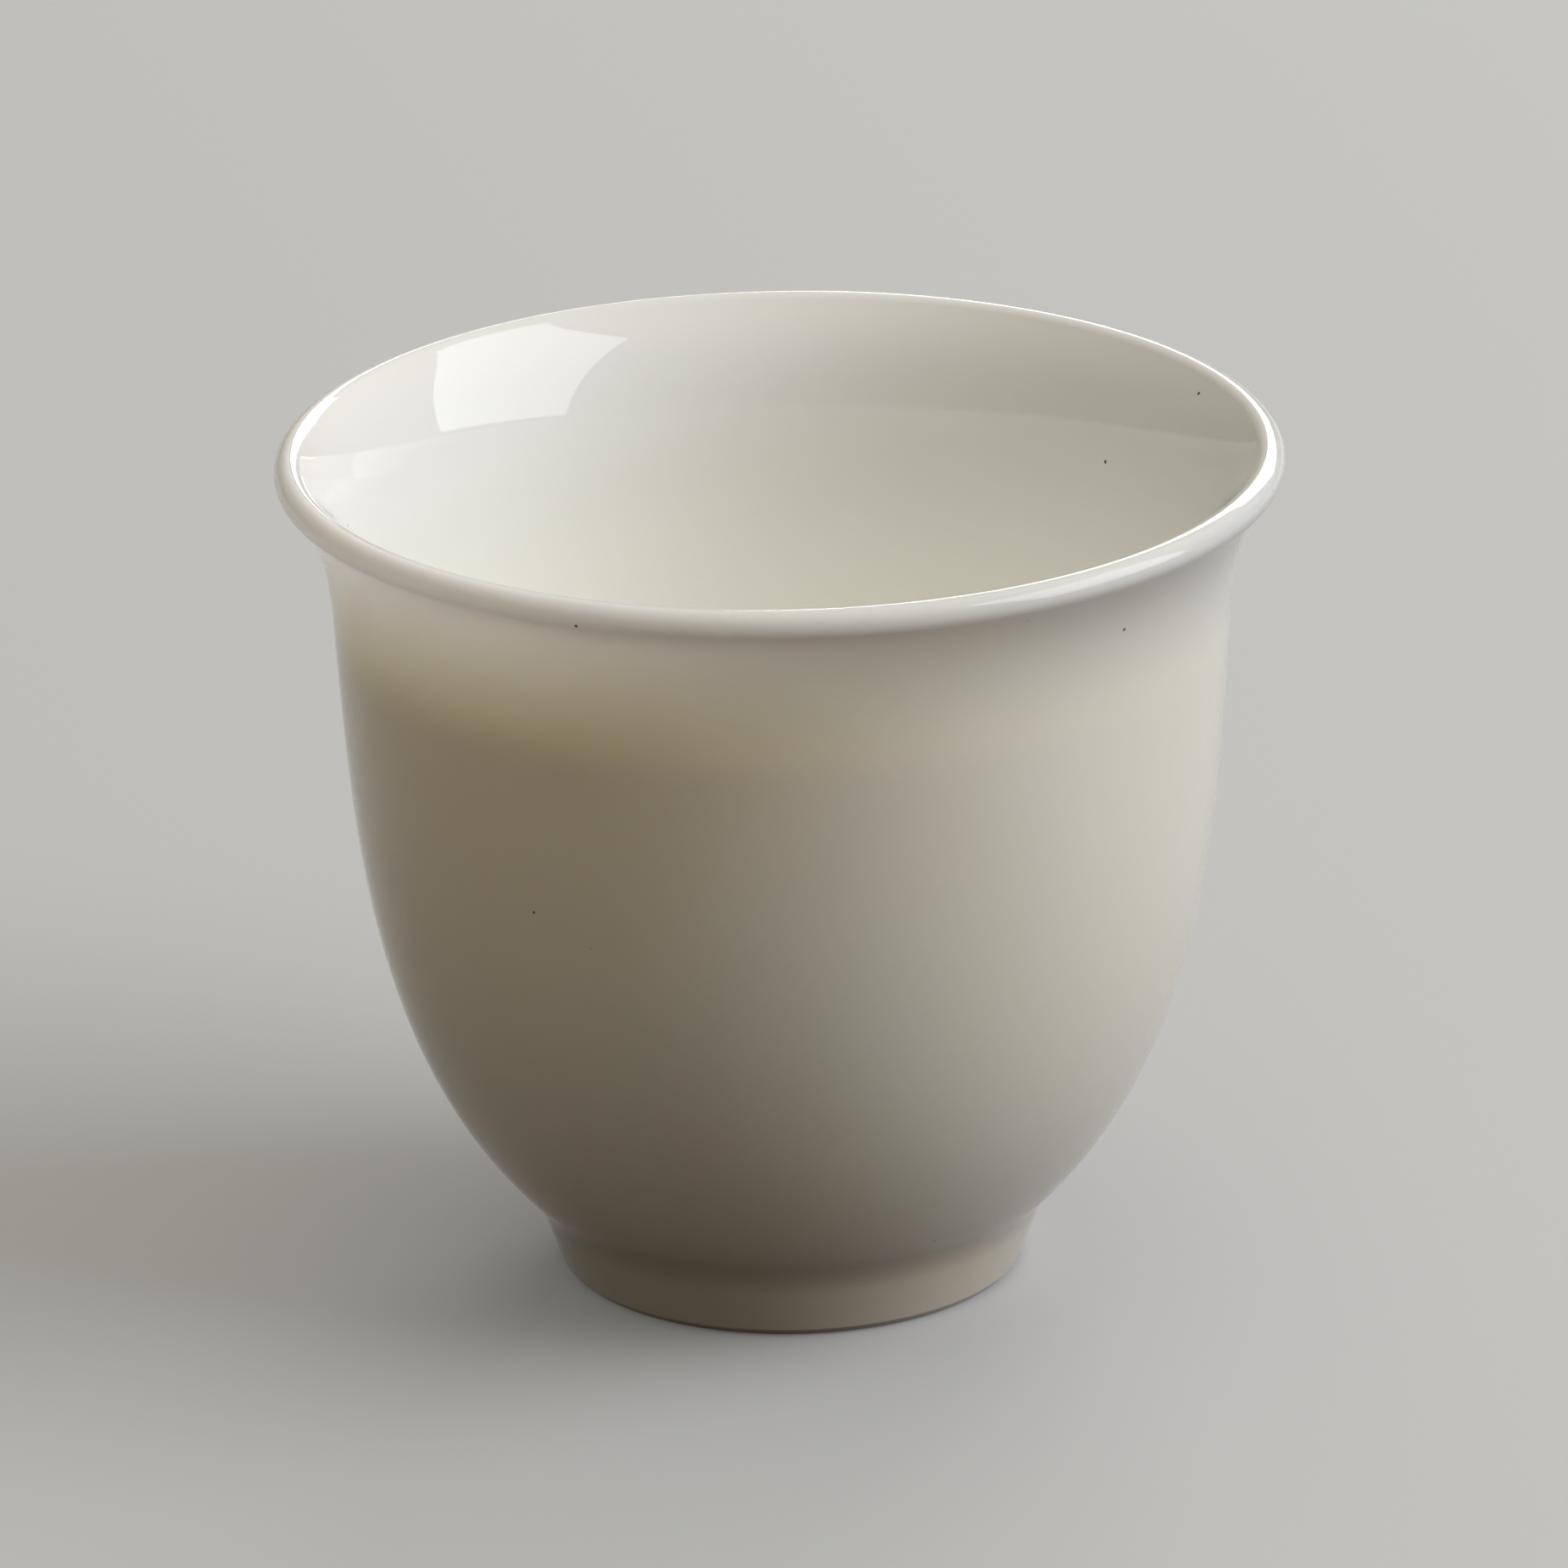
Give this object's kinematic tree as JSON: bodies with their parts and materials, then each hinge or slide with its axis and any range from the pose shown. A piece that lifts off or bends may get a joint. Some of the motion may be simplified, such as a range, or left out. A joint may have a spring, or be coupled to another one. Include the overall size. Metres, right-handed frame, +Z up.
{
  "type": "teacup",
  "caption": "Handleless bell-shaped porcelain teacup with a flared rounded lip, a bowl curving in to a tapered foot ring, and a plain ivory glaze.",
  "frame": {"origin": "centre of the foot ring's resting face, on the cup's axis", "axes": "+Z up along the cup's axis of revolution; X and Y are alike because the cup is round"},
  "size_m": [0.07, 0.07, 0.06],
  "materials": {
    "porcelain": "fired white porcelain, bare and matt where it shows at the foot's edge",
    "slip": "fired joining slip of the same clay",
    "glaze": "glossy, slightly milky warm ivory glaze"
  },
  "bodies": {
    "root": {"bowl": "porcelain", "foot_ring": "porcelain", "luting_slip": "slip", "outer_glaze": "glaze", "inner_glaze": "glaze", "base_glaze": "glaze"}
  },
  "joints": []
}
